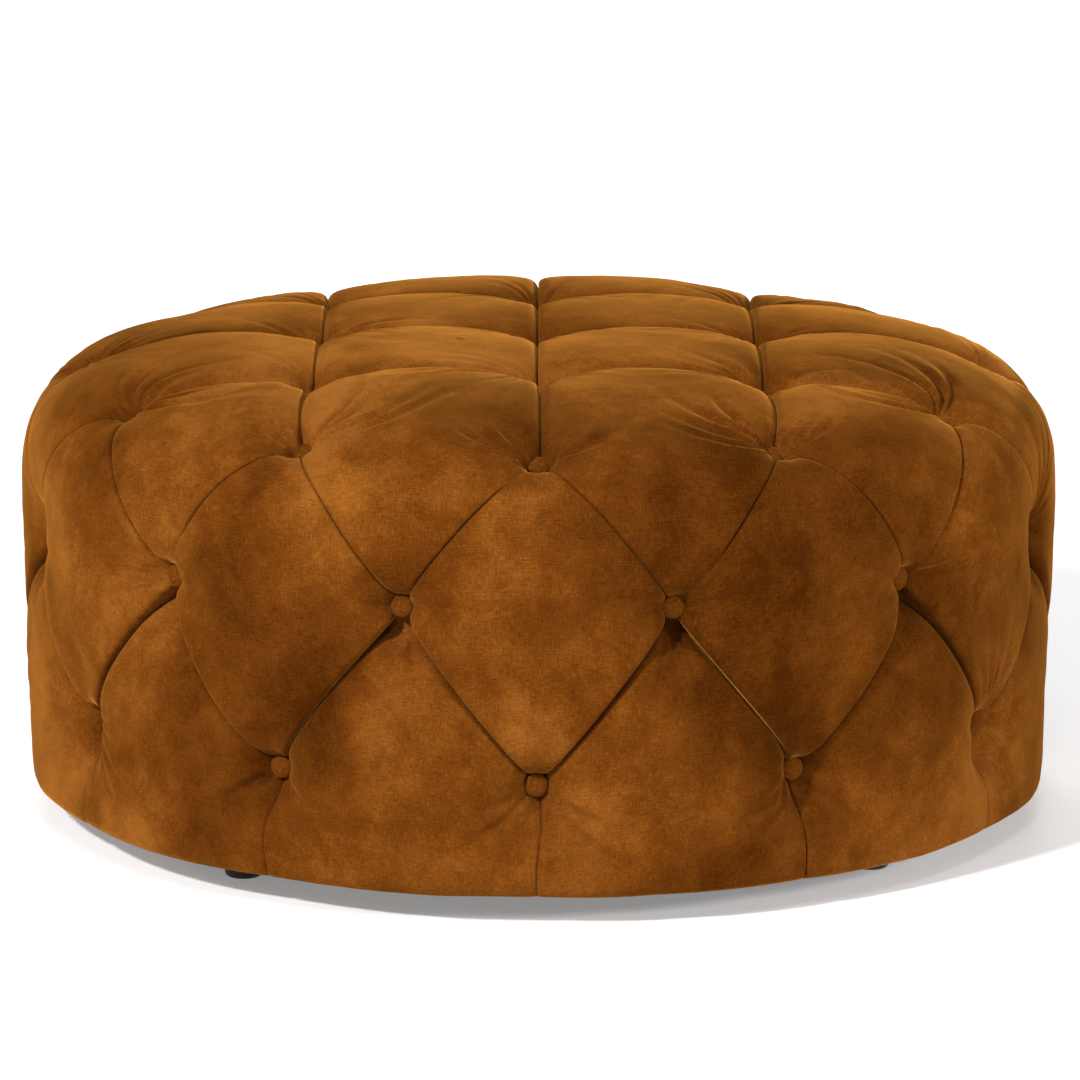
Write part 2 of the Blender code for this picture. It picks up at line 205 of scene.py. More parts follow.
class Layout:
    """The tufts and hem points as flat places, the pleats between them, and the cells that they bound."""

    def __init__(self):
        self.flat, self.kind, self.names = [], [], {}
        self.pleats, self.cells = {}, []
        for j in range(3):
            for i in range(3):
                self.add(("top", i - 1, 1 - j), "top", np.array([(i - 1), (j - 1)]) * GRID_PITCH)
        for k in range(12):
            self.add(("rim", 30 * k), "rim", polar(RIM_LENGTH, 30 * k))
            self.add(("upper", 30 * k + 15), "upper", polar(UPPER_LENGTH, 30 * k + 15))
            self.add(("lower", 30 * k), "lower", polar(LOWER_LENGTH, 30 * k))
            self.add(("hem", 30 * k), "hem", polar(HEM_LENGTH, 30 * k))
        self.make_cells()

    def add(self, name, kind, flat):
        self.names[name] = len(self.flat)
        self.flat.append(flat)
        self.kind.append(kind)

    def at(self, kind, degrees):
        return self.names[(kind, degrees % 360)]

    def grid(self, across, front, quarter):
        """The top tuft at that place of the front quarter, turned by quarters."""
        for _ in range(quarter):
            across, front = front, -across
        return self.names[("top", across, front)]

    def make_cells(self):
        for i in (-1, 0):
            for j in (-1, 0):
                corners = [("top", i, j), ("top", i + 1, j), ("top", i + 1, j + 1), ("top", i, j + 1)]
                self.cell("square", [self.names[c] for c in corners])
        for quarter in range(4):
            turn = 90 * quarter
            middle, right, left = (self.grid(x, 1, quarter) for x in (0, 1, -1))
            rim = [self.at("rim", turn + a) for a in (-30, 0, 30, 60)]
            upper = [self.at("upper", turn + a) for a in (-15, 15, 45)]
            self.cell("rim", [middle, right, rim[2], upper[1], rim[1]])
            self.cell("rim", [left, middle, rim[1], upper[0], rim[0]])
            self.cell("corner", [right, rim[3], upper[2], rim[2]])
        for k in range(12):
            a = 30 * k
            self.cell("diamond", [self.at("rim", a), self.at("upper", a + 15), self.at("lower", a),
                                  self.at("upper", a - 15)])
            self.cell("bottom", [self.at("upper", a + 15), self.at("lower", a + 30), self.at("hem", a + 30),
                                 self.at("hem", a), self.at("lower", a)])

    def cell(self, kind, corners):
        number = len(self.cells)
        self.cells.append((kind, corners))
        for a, b in zip(corners, corners[1:] + corners[:1]):
            self.pleats.setdefault(frozenset((a, b)), []).append(number)

    def pleat_kind(self, a, b):
        return "-".join(sorted((self.kind[a], self.kind[b])))

    def curve(self, a, b, share):
        """Flat points along the pleat from a to b. Side pleats run straight on the unrolled side."""
        start, end = self.flat[a], self.flat[b]
        share = np.asarray(share, float)[:, None]
        line = start + (end - start) * share
        kinds = {self.kind[a], self.kind[b]}
        if "top" in kinds:
            return line
        from_length, to_length = np.hypot(*start), np.hypot(*end)
        from_angle, to_angle = np.arctan2(start[0], -start[1]), np.arctan2(end[0], -end[1])
        to_angle = from_angle + (to_angle - from_angle + pi) % (2 * pi) - pi
        bow = self.bow(a, b) * np.sin(pi * share) + self.wave(a, b) * np.sin(2 * pi * share)
        length = from_length + (to_length - from_length) * share
        angle = from_angle + (to_angle - from_angle) * share + bow / RADIUS
        return np.column_stack([length * np.sin(angle), -length * np.cos(angle)])

    def bow(self, a, b):
        """How far the pleat bends aside at its middle: a few millimetres, the same each run."""
        if self.kind[a] == self.kind[b] == "hem":
            return 0
        return Random(1000 * min(a, b) + max(a, b)).uniform(-0.004, 0.004)

    def wave(self, a, b):
        """How far the pleat weaves to one side and then the other."""
        if self.kind[a] == self.kind[b] == "hem":
            return 0
        sign = 1 if a < b else -1
        return sign * Random(1000 * max(a, b) + min(a, b)).uniform(-0.003, 0.003)


LAYOUT = Layout()


def tuft_table():
    """The tufts' rows in the layout, kinds, places on the full drum, outward directions and depths."""
    rows = [i for i, kind in enumerate(LAYOUT.kind) if kind != "hem"]
    place, out = on_drum(np.array([LAYOUT.flat[i] for i in rows]))
    kinds = [LAYOUT.kind[i] for i in rows]
    sinks = {"top": TOP_SINK, "rim": RIM_SINK, "upper": SIDE_SINK, "lower": SIDE_SINK}
    for n, kind in enumerate(kinds):
        level = np.array([place[n, 0], place[n, 1], 0]) / max(np.hypot(*place[n, :2]), 1e-9)
        if kind == "rim":
            out[n] = level * cos(RIM_TILT) + np.array([0, 0, sin(RIM_TILT)])
        elif kind == "top":
            out[n] = (0, 0, 1)
        else:
            out[n] = level
    sink = np.array([sinks[kind] for kind in kinds])
    return rows, kinds, place, out, sink


TUFT_ROWS, TUFT_KINDS, TUFT_PLACE, TUFT_OUT, TUFT_SINK = tuft_table()


# ---------------------------------------------------------------- how the velvet sinks, laps and wrinkles

# How far each kind of tuft's well reaches: uphill (or to the back), sideways, and downhill (or to the front)
WELL_REACH = {
    "top": (0.014, 0.010, 0.011),
    "rim": (0.013, 0.006, 0.007),
    "upper": (0.006, 0.010, 0.012),
    "lower": (0.007, 0.010, 0.014),
}
WIDE_WELL = {"top": 0.45, "rim": 0.45, "upper": 0.62, "lower": 0.62}
WIDE_REACH = 0.060
GATHER_DEPTH = {"top": 0.006, "rim": 0.004, "upper": 0.001, "lower": 0.001}
POCKET_DEPTH = {"top": 0, "rim": 0, "upper": 0.018, "lower": 0.013}
POCKET_BELOW = 0.023       # from the tuft's centre to the deepest part of the pocket under its button
POCKET_LENGTH = 0.021
LIP_WIDTH = 0.004
EASY_DEPTH = 0.038         # how deep the side may sink before it starts to flatten out above the wall
EASY_TOP_DEPTH = 0.060     # the same on the top
WALL_ROOM = 0.0075         # how much further it may then sink
DEEPEST_CREASE = 0.0060    # so that no crease reaches the foam
TOP_CROWN = 0.005          # how far the puffs would stand above the outline if no well reached them
SIDE_CROWN = 0.014
CROWN_TURN = (0.34, 0.50)  # the lengths along the outline between which one becomes the other
SOFT_WAVES = ((0.0016, 7), (0.0010, 19), (0.0004, 45))   # the stuffing's unevenness: depth and scale
OVER_RANK = {"diamond": 4, "corner": 3, "rim": 2, "square": 1, "bottom": 0}

# Each kind of pleat: its slit's depth, and half width on the under and the over side, how far it laps over,
# how widely the puff rises from it on the under and the over side, and its valley's depth
FOLDS = {
    "lower-upper": (0.0165, 0.0034, 0.0014, 0.0046, 0.024, 0.0048, 0.0050),
    "rim-upper": (0.0052, 0.0013, 0.0010, 0.0009, 0.014, 0.010, 0.0004),
    "top-top": (0.0070, 0.0035, 0.0022, 0.0026, 0.028, 0.020, 0.0045),
    "rim-top": (0.0100, 0.0035, 0.0022, 0.0030, 0.026, 0.016, 0.0045),
    "hem-lower": (0.0032, 0.0016, 0.0014, 0.0010, 0.022, 0.018, 0.0010),
}


def smooth(value, low, high):
    share = np.clip((value - low) / (high - low), 0, 1)
    return share * share * (3 - 2 * share)


def nearest_on(points, line):
    """Distance, share along it and direction to the nearest place on a polyline, for each point."""
    best = np.full(len(points), 9.0)
    share = np.zeros(len(points))
    toward = np.zeros_like(points)
    pieces = len(line) - 1
    for n in range(pieces):
        start, run = line[n], line[n + 1] - line[n]
        along = np.clip((points - start) @ run / (run @ run), 0, 1)
        gap = start + along[:, None] * run - points
        distance = np.linalg.norm(gap, axis=1)
        closer = distance < best
        best[closer] = distance[closer]
        share[closer] = (n + along[closer]) / pieces
        toward[closer] = gap[closer]
    return best, share, toward / np.maximum(best, 1e-9)[:, None]


def tuft_frames():
    """For each tuft, the level direction along the surface, and the one across it, down or to the front."""
    level, down = [], []
    for out in TUFT_OUT:
        side = np.cross(out, (0, 0, 1)) if abs(out[2]) < 0.9 else np.array([1.0, 0, 0])
        side = side / np.linalg.norm(side)
        fall = np.cross(out, side)
        level.append(side)
        down.append(fall if fall[2] < 0 or abs(out[2]) > 0.9 else -fall)
    return np.array(level), np.array(down)


TUFT_LEVEL, TUFT_DOWN = tuft_frames()


def crown(length):
    return TOP_CROWN + (SIDE_CROWN - TOP_CROWN) * smooth(length, *CROWN_TURN)


def above_wall(height, length):
    """The same heights, kept clear of the side wall: deep places flatten out before they reach it."""
    side = smooth(length, length_at(z=0.37), length_at(z=0.32))
    easy = EASY_TOP_DEPTH + (EASY_DEPTH - EASY_TOP_DEPTH) * side
    over = np.maximum(-height - easy, 0)
    return np.where(over > 0, -easy - WALL_ROOM * np.tanh(over / WALL_ROOM), height)


def well_pull(place, n):
    """How strongly tuft n pulls on each place, from 1 on its button's floor, how far the places are from
    it, and how far downhill they lie, from -1 to 1."""
    kind = TUFT_KINDS[n]
    gap = place - TUFT_PLACE[n]
    away = np.linalg.norm(gap, axis=1)
    heading = (gap @ TUFT_DOWN[n]) / np.maximum(away, 1e-6)
    uphill, sideways, downhill = WELL_REACH[kind]
    reach = sideways + (downhill - sideways) * np.clip(heading, 0, 1) ** 2
    reach += (uphill - sideways) * np.clip(-heading, 0, 1) ** 2
    beyond = np.maximum(away - BUTTON_FLOOR, 0)
    wide = WIDE_WELL[kind]
    return (1 - wide) * np.exp(-beyond / reach) + wide * np.exp(-beyond / WIDE_REACH), away, heading


def well_strengths():
    """The strength of each tuft's well that brings every tuft to its own depth, with its neighbours' pull."""
    pulls = np.column_stack([well_pull(TUFT_PLACE, n)[0] for n in range(len(TUFT_KINDS))])
    length = np.array([np.hypot(*LAYOUT.flat[row]) for row in TUFT_ROWS])
    return np.linalg.solve(pulls, TUFT_SINK + crown(length) - np.interp(length, LENGTH, SAG))


WELL_STRENGTH = well_strengths()


def well_sink(place, length):
    """How far the surface sinks at each place into the wells, how deeply a pleat gathers there, how firmly
    a button holds it, and how the direction to sink in leans."""
    sink = np.interp(length, LENGTH, SAG)
    gather = np.zeros(len(place))
    held = np.zeros(len(place))
    lean = np.zeros_like(place)
    for n, kind in enumerate(TUFT_KINDS):
        pull, away, heading = well_pull(place, n)
        beyond = np.maximum(away - BUTTON_FLOOR, 0)
        sink += WELL_STRENGTH[n] * pull
        sink += POCKET_DEPTH[kind] * np.exp(-((away - POCKET_BELOW) / POCKET_LENGTH) ** 2) * (
            np.clip(heading, 0, 1) ** 4)
        gather += GATHER_DEPTH[kind] * np.exp(-beyond / 0.030) * (1 - np.exp(-beyond / 0.006))
        held = np.maximum(held, np.exp(-beyond / 0.006))
        lean += TUFT_OUT[n] * np.exp(-(away / 0.06) ** 2)[:, None]
    return sink, gather, held, lean


# The fans of creases at some tufts: the heading of the fan's middle, from downhill to the left as seen from
# outside, then the number of creases, the degrees between them, and their depth, reach and curl
FANS = {
    ("rim", 330): [(-128, 4, 15, 0.0056, 0.065, -4), (112, 4, 13, 0.0034, 0.04, 4),
                   (170, 1, 0, 0.003, 0.03, 0)],
    ("rim", 0): [(112, 5, 13, 0.0048, 0.046, 5), (-110, 2, 22, 0.0042, 0.026, -6),
                 (-150, 1, 0, 0.003, 0.03, 0)],
    ("rim", 30): [(118, 6, 12, 0.005, 0.05, 5), (-112, 3, 18, 0.004, 0.034, -4)],
    ("rim", 300): [(-120, 3, 20, 0.0056, 0.044, -5), (120, 4, 15, 0.0044, 0.04, 5),
                   (175, 1, 0, 0.004, 0.03, 0)],
    ("rim", 60): [(120, 4, 15, 0.0044, 0.045, 5), (-130, 3, 18, 0.0056, 0.045, -3),
                  (172, 1, 0, 0.006, 0.028, 0)],
    ("upper", 315): [(92, 5, 14, 0.0028, 0.04, 3), (-80, 2, 16, 0.0018, 0.03, 0),
                     (10, 2, 20, 0.002, 0.03, 0)],
    ("upper", 345): [(80, 2, 16, 0.0022, 0.02, 2), (-78, 2, 16, 0.002, 0.022, -2),
                     (0, 3, 14, 0.004, 0.045, 0)],
    ("upper", 15): [(-88, 4, 9, 0.0016, 0.05, 0), (0, 3, 15, 0.0044, 0.06, 0),
                    (95, 2, 15, 0.0016, 0.02, 0)],
    ("upper", 45): [(-102, 1, 0, 0.005, 0.07, 2), (-70, 2, 15, 0.0024, 0.045, 0),
                    (88, 2, 18, 0.0018, 0.02, 0)],
    ("lower", 0): [(52, 2, 17, 0.0062, 0.044, 2), (-46, 2, 15, 0.0074, 0.055, -2),
                   (85, 2, 14, 0.0016, 0.025, 0)],
    ("lower", 330): [(-40, 2, 17, 0.005, 0.04, -2), (46, 2, 17, 0.0066, 0.046, 2),
                     (80, 2, 15, 0.0016, 0.03, 0)],
    ("lower", 30): [(48, 2, 15, 0.006, 0.044, 2), (-30, 2, 15, 0.0026, 0.04, -2),
                    (-80, 2, 12, 0.0016, 0.03, 0)],
}


def creases(n):
    """The creases round tuft n as (heading, depth, width, reach, curl): its own, or some picked for it."""
    pick = Random(77 + n)
    row = TUFT_ROWS[n]
    place = LAYOUT.flat[row]
    degrees = round(np.degrees(np.arctan2(place[0], -place[1]))) % 360
    fans = FANS.get((TUFT_KINDS[n], degrees))
    if not fans:
        sides = (pick.uniform(70, 130), -pick.uniform(70, 130), pick.choice((0, 180)) + pick.uniform(-25, 25))
        deep = 0.0032 if TUFT_KINDS[n] in ("rim", "top") else 0.0026
        fans = [
            (side, pick.choice((2, 3, 4, 5)), pick.uniform(12, 18), deep * pick.uniform(0.6, 1),
             pick.uniform(0.025, 0.05), pick.uniform(-5, 5))
            for side in sides
        ]
    for heading, count, between, depth, reach, curl in fans:
        for i in range(count):
            turn = heading + (i - (count - 1) / 2) * between + pick.uniform(-3, 3)
            width = pick.uniform(0.0018, 0.0026) * (2.0 if count < 3 else 1.1)
            yield (radians(turn), depth * pick.uniform(1.2, 1.9), width,
                   reach * pick.uniform(0.7, 1.15), curl * pick.uniform(0.7, 1.3))


def wrinkle_height(place):
    """Drag lines that fan out from each tuft, as creases with a soft ridge on either side."""
    height = np.zeros(len(place))
    for n in range(len(TUFT_PLACE)):
        gap = place - TUFT_PLACE[n]
        away = np.linalg.norm(gap, axis=1)
        near = np.nonzero((away < 0.16) & (away > 0.009))[0]
        if not len(near):
            continue
        gap, away = gap[near], away[near]
        angle = np.arctan2(gap @ TUFT_LEVEL[n], gap @ TUFT_DOWN[n])
        added = np.zeros(len(near))
        for heading, depth, width, reach, curl in creases(n):
            turned_by = angle - heading - curl * np.maximum(away - 0.015, 0)
            aside = away * np.sin(turned_by)
            strength = smooth(away, 0.010, 0.020) * np.exp(-np.maximum(away - 0.020, 0) / reach)
            strength *= np.cos(turned_by) > 0
            spread = width * (0.6 + away / 0.05)
            ridge = 0.55 * np.exp(-(aside / (2.2 * spread)) ** 2) - 1.45 * np.exp(-(aside / spread) ** 2)
            added += depth * strength * ridge
        height[near] += added
    return np.where(height < 0, DEEPEST_CREASE * np.tanh(height / DEEPEST_CREASE), height)


def soft_waves(place):
    """Slow, shallow unevenness of the stuffing, about the places of the full drum."""
    waves = np.empty(len(place))
    for n, point in enumerate(place):
        at = Vector(point)
        waves[n] = sum(depth * noise.noise(at * scale) for depth, scale in SOFT_WAVES)
    return waves


class Cell:
    """One puff of the cover: its flat grid of points, and the same points sunk into shape."""

    def __init__(self, number, steps=CELL_STEPS, under_cover=0):
        self.number = number
        self.steps = steps
        self.under_cover = under_cover
        self.kind, self.corners = LAYOUT.cells[number]
        self.flat, self.on_pleat, self.faces, self.hem_row = self.grid()
        self.place, self.out = on_drum(self.flat)
        self.shaped = self.shape()

    def grid(self):
        """Points of the cell, in one square patch for each corner, stepped finely by the pleats."""
        count = len(self.corners)
        even = np.arange(self.steps + 1) / self.steps
        steps = 0.93 * even ** CELL_GRADING + 0.07 * even
        middle = np.mean([LAYOUT.flat[c] for c in self.corners], axis=0)
        flat, on_pleat, faces, hem_row = [], [], [], []
        a, b = np.meshgrid(steps, steps, indexing="ij")
        a, b = a.ravel()[:, None], b.ravel()[:, None]
        side = self.steps + 1
        for c in range(count):
            here, after, before = (self.corners[(c + d) % count] for d in (0, 1, -1))
            ahead = LAYOUT.curve(here, after, a.ravel() / 2)
            behind = LAYOUT.curve(here, before, b.ravel() / 2)
            end_a = LAYOUT.curve(here, after, [0.5])
            end_b = LAYOUT.curve(here, before, [0.5])
            corner = LAYOUT.flat[here]
            far_a = end_b + (middle - end_b) * a
            far_b = end_a + (middle - end_a) * b
            blend = (1 - b) * ahead + b * far_a + (1 - a) * behind + a * far_b
            blend -= (1 - a) * (1 - b) * corner + a * (1 - b) * end_a + (1 - a) * b * end_b + a * b * middle
            first = len(flat) * side * side
            flat.append(blend)
            lies_on = np.full((side * side, 2), -1)
            lies_on[b.ravel() == 0, 0] = c
            lies_on[a.ravel() == 0, 1] = (c - 1) % count
            on_pleat.append(lies_on)
            for i in range(self.steps):
                for j in range(self.steps):
                    one = first + i * side + j
                    faces.append((one, one + side, one + side + 1, one + 1))
            if {LAYOUT.kind[here], LAYOUT.kind[after]} == {"hem"}:
                hem_row += [(first + i * side, i) for i in range(side)]
            if {LAYOUT.kind[here], LAYOUT.kind[before]} == {"hem"}:
                hem_row += [(first + j, 2 * self.steps - j) for j in range(self.steps)]
        hem_row = [index for index, _ in sorted(hem_row, key=lambda pair: pair[1])]
        return np.vstack(flat), np.vstack(on_pleat), faces, hem_row

    def pleats(self):
        """The cell's pleats: side number, the end tufts, the fold's sizes, and whether it laps over."""
        count = len(self.corners)
        for c in range(count):
            a, b = self.corners[c], self.corners[(c + 1) % count]
            kind = LAYOUT.pleat_kind(a, b)
            if kind not in FOLDS:
                continue
            others = [m for m in LAYOUT.pleats[frozenset((a, b))] if m != self.number]
            rank = (OVER_RANK[self.kind], self.number)
            over = all(rank > (OVER_RANK[LAYOUT.cells[m][0]], m) for m in others)
            yield c, a, b, FOLDS[kind], over

    def shape(self):
        length = np.hypot(self.flat[:, 0], self.flat[:, 1])
        sink, gather, held, lean = well_sink(self.place, length)
        tuft_gap = np.linalg.norm(self.place[:, None, :] - TUFT_PLACE[None], axis=2).min(axis=1)
        grown = 0.35 + 0.65 * smooth(tuft_gap, 0.010, 0.070)
        rise = np.ones(len(self.flat))
        nearness, slits, laps, valleys = [], [], [], []
        for c, a, b, fold, over in self.pleats():
            slit, under, over_width, lap, low_puff, high_puff, valley = fold
            ends = sorted((a, b))
            line, _ = on_drum(LAYOUT.curve(*ends, np.linspace(0, 1, EDGE_POINTS)))
            gap, share, toward = nearest_on(self.place, line)
            gap[(self.on_pleat == c).any(axis=1)] = 0
            hangs = LAYOUT.pleat_kind(a, b) == "lower-upper"
            puff = high_puff * grown if over else low_puff * (1 if hangs else grown)
            rise *= np.tanh(gap / puff)
            if hangs and LAYOUT.kind[ends[0]] == "lower":
                share = 1 - share
            deeper = 2.4 * (1 - share) ** 2 + 0.25 if hangs else np.ones(len(share))
            valleys.append(valley * deeper)
            fade = self.fade(share, ends)
            width = (over_width if over else under) + 0.6 * self.under_cover
            nearness.append(1 / (gap + 1e-7) ** 3)
            slits.append(slit * fade * np.exp(-gap / width))
            curl = gap / LIP_WIDTH * np.exp(1 - gap / LIP_WIDTH)
            laps.append(toward * (lap * fade * curl * over)[:, None])
        nearness = np.array(nearness)
        nearness /= nearness.sum(axis=0)
        slit = (nearness * np.array(slits)).sum(axis=0)
        lap = (nearness[:, :, None] * np.array(laps)).sum(axis=0)
        valley = (np.array(valleys) * nearness).sum(axis=0) + gather
        height = above_wall(crown(length) - sink - valley * (1 - held) * (1 - rise) - slit, length)
        height -= self.under_cover
        out = self.out + lean * 1.5
        out /= np.linalg.norm(out, axis=1)[:, None]
        if self.under_cover:
            return self.place + out * height[:, None]
        calm = 1 - smooth(-height, EASY_DEPTH + 0.0005, EASY_DEPTH + WALL_ROOM)
        height += wrinkle_height(self.place) * (0.3 + 0.7 * rise) * calm
        height += soft_waves(self.place) * rise
        return self.place + out * height[:, None] + lap

    def fade(self, share, ends):
        """Strength of a pleat's fold along it: none at its ends, most just under an upper button."""
        kinds = {LAYOUT.kind[e] for e in ends}
        start = smooth(share, 0.0, 0.10)
        finish = 1 - smooth(share, 0.93, 1.0)
        if kinds == {"upper", "lower"}:
            return start * finish * (1.25 - 0.65 * share)
        if "hem" in kinds:
            return start
        if kinds == {"rim", "upper"} and self.goes_left(*ends):
            return finish * smooth(share, 0.10, 0.45)
        if kinds == {"rim", "top"}:
            return smooth(share, 0.0, 0.06) * (1 - smooth(share, 0.97, 1.0))
        return start * finish

    def goes_left(self, rim, upper):
        """Whether a pleat from a rim tuft runs down to the left, seen from outside. These close early."""
        if LAYOUT.kind[rim] != "rim":
            rim, upper = upper, rim
        (ax, ay), (bx, by) = LAYOUT.flat[rim], LAYOUT.flat[upper]
        return ay * bx - ax * by > 0


def fabric_axes(cell):
    """The weave's directions in a cell, in the flat layout: across and down the cloth."""
    middle = np.mean([LAYOUT.flat[c] for c in cell.corners], axis=0)
    if cell.kind == "square":
        return middle, np.array([1.0, 0]), np.array([0, 1.0])
    away = middle / np.linalg.norm(middle)
    return middle, np.array([-away[1], away[0]]), away


def hem_droop(angle):
    """How far the rolled hem hangs below its line: a little uneven, and lowest at the right."""
    uneven = noise.noise(Vector((cos(angle), sin(angle), 0)) * 6)
    return 0.0008 + 0.0030 * max(0, sin(angle)) ** 2 + 0.0008 * uneven


def flap_rows(cell):
    """The rest of the cover below a bottom cell: rolled under at the hem and turned in to the base."""
    flat = cell.flat[cell.hem_row]
    angle = np.arctan2(flat[:, 0], -flat[:, 1])
    moved = cell.shaped[cell.hem_row] - cell.place[cell.hem_row]
    droop = np.array([hem_droop(turn) for turn in angle])
    rows = []
    for step in range(1, FLAP_STEPS + 1):
        share = step / FLAP_STEPS
        length = HEM_LENGTH + (END_LENGTH - HEM_LENGTH) * share
        place, _ = on_drum(np.column_stack([length * np.sin(angle), -length * np.cos(angle)]))
        row = place + moved * (1 - share)
        row[:, 2] = np.maximum(row[:, 2], HEM_Z) - droop * (1 - share) ** 2
        rows.append(row)
    return rows


def foam_body():
    """The stuffing's outer form, a little below the cover, as one closed solid."""
    points, faces = [], []
    for number in range(len(LAYOUT.cells)):
        cell = Cell(number, FOAM_STEPS, FOAM_INSET)
        first = sum(len(p) for p in points)
        points.append(cell.shaped)
        faces += [tuple(first + v for v in face) for face in cell.faces]
    shape = bmesh.new()
    for point in np.vstack(points):
        shape.verts.new(point)
    shape.verts.ensure_lookup_table()
    for face in faces:
        shape.faces.new([shape.verts[v] for v in face])
    bmesh.ops.remove_doubles(shape, verts=shape.verts, dist=WELD)
    open_edges = [e for e in shape.edges if e.is_boundary]
    bmesh.ops.holes_fill(shape, edges=open_edges, sides=len(open_edges))
    bmesh.ops.recalc_face_normals(shape, faces=shape.faces)
    return link("foam_body", finished(shape, "foam_body"))


def cut_foam(name, body, profile):
    """The part of the foam body inside a turned region."""
    tool = link(f"{name}_region", finished(turned(profile, FOAM_SIDES), f"{name}_region"))
    piece = link(name, body.data.copy())
    cut = piece.modifiers.new("cut", "BOOLEAN")
    cut.operation = "INTERSECT"
    cut.solver = "EXACT"
    cut.object = tool
    settle(piece)
    piece.data.shade_smooth()
    piece.data.set_sharp_from_angle(angle=radians(40))
    bpy.data.objects.remove(tool)
    return piece


def build_foams():
    """The side wrap and the top pad, which meet on a slope at the deck's edge."""
    body = foam_body()
    beyond, slope, gap = 0.60, 0.14, 0.0005
    joint = DECK_Z - slope * (beyond - WALL_OUTSIDE)
    side = [(WALL_OUTSIDE, BASE_Z), (beyond, BASE_Z), (beyond, joint - gap), (WALL_OUTSIDE, DECK_Z - gap)]
    top = [(0, DECK_Z), (WALL_OUTSIDE, DECK_Z), (beyond, joint), (beyond, 0.6), (0, 0.6)]
    pieces = cut_foam("side_wadding", body, side + side[:1]), cut_foam("top_wadding", body, top)
    bpy.data.objects.remove(body)
    return pieces


def build_cover():
    """The whole tufted cover as one mesh, welded along the pleats."""
    points, faces, weave = [], [], []
    for number in range(len(LAYOUT.cells)):
        cell = Cell(number)
        first = sum(len(p) for p in points)
        points.append(cell.shaped)
        middle, across, down = fabric_axes(cell)
        shift = np.array([Random(number).uniform(0, 3), Random(number + 99).uniform(0, 3)])
        local = cell.flat - middle
        weave.append(np.column_stack([local @ across, local @ down]) + shift)
        faces += [tuple(first + v for v in face) for face in cell.faces]
        if cell.hem_row:
            above = [first + v for v in cell.hem_row]
            start = first + len(cell.shaped)
            rows = flap_rows(cell)
            hem_weave = weave[-1][cell.hem_row]
            for n, row in enumerate(rows):
                below = [start + n * len(row) + i for i in range(len(row))]
                points.append(row)
                weave.append(hem_weave + down_step(n))
                faces += [
                    (above[i], above[i + 1], below[i + 1], below[i]) for i in range(len(row) - 1)
                ]
                above = below
    mesh = bpy.data.meshes.new("cover_velvet")
    mesh.from_pydata(np.vstack(points).tolist(), [], faces)
    uv = mesh.uv_layers.new(name="weave")
    at = np.vstack(weave)
    corner = np.empty(len(mesh.loops), np.int32)
    mesh.loops.foreach_get("vertex_index", corner)
    uv.data.foreach_set("uv", at[corner].ravel().astype(np.float32))
    shape = bmesh.new()
    shape.from_mesh(mesh)
    bmesh.ops.remove_doubles(shape, verts=shape.verts, dist=WELD)
    bmesh.ops.recalc_face_normals(shape, faces=shape.faces)
    shape.to_mesh(mesh)
    shape.free()
    cover = link("cover_velvet", mesh)
    thin_out(cover, COVER_TRIANGLES)
    cover.data.shade_smooth()
    return cover


def thin_out(piece, triangles):
    """Takes away the faces that a piece's flatter parts can spare."""
    now = sum(len(face.vertices) - 2 for face in piece.data.polygons)
    fewer = piece.modifiers.new("fewer", "DECIMATE")
    fewer.ratio = min(1, triangles / now)
    fewer.use_collapse_triangulate = True
    settle(piece)


def down_step(n):
    """How far down the cloth row n of the flap lies from the hem."""
    return np.array([0, (n + 1) * (END_LENGTH - HEM_LENGTH) / FLAP_STEPS])


def link(name, mesh):
    made = bpy.data.objects.new(name, mesh)
    bpy.context.scene.collection.objects.link(made)
    return made


def finished(shape, name):
    """A bmesh as a mesh."""
    mesh = bpy.data.meshes.new(name)
    shape.to_mesh(mesh)
    shape.free()
    return mesh


def settle(piece):
    """Applies a piece's modifiers."""
    settled = piece.evaluated_get(bpy.context.evaluated_depsgraph_get())
    mesh = bpy.data.meshes.new_from_object(settled)
    piece.modifiers.clear()
    piece.data = mesh


# ---------------------------------------------------------------- materials

